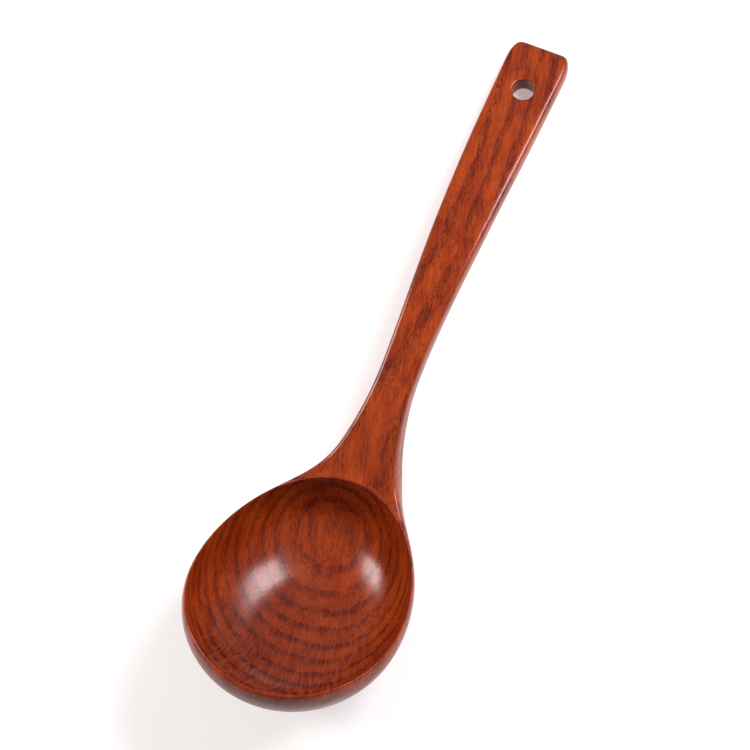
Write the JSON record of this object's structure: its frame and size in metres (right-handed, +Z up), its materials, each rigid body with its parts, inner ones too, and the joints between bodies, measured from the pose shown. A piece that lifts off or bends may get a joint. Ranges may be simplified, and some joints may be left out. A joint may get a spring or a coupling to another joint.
{
  "type": "wooden ladle",
  "caption": "One-piece lacquered wooden ladle with a deep egg-shaped bowl and a curved handle that flares towards a hanging hole.",
  "frame": {"origin": "middle of the bounding box's base: the ladle lies on a table, on the bowl's underside and the handle's end", "axes": "+Y from the bowl to the handle's end, +Z up, X across the bowl"},
  "size_m": [0.0908, 0.2982, 0.0674],
  "materials": {
    "lacquered_wood": "red-brown stained ring-porous hardwood under a glossy clear lacquer"
  },
  "bodies": {
    "root": {"ladle": "lacquered_wood"}
  },
  "joints": []
}
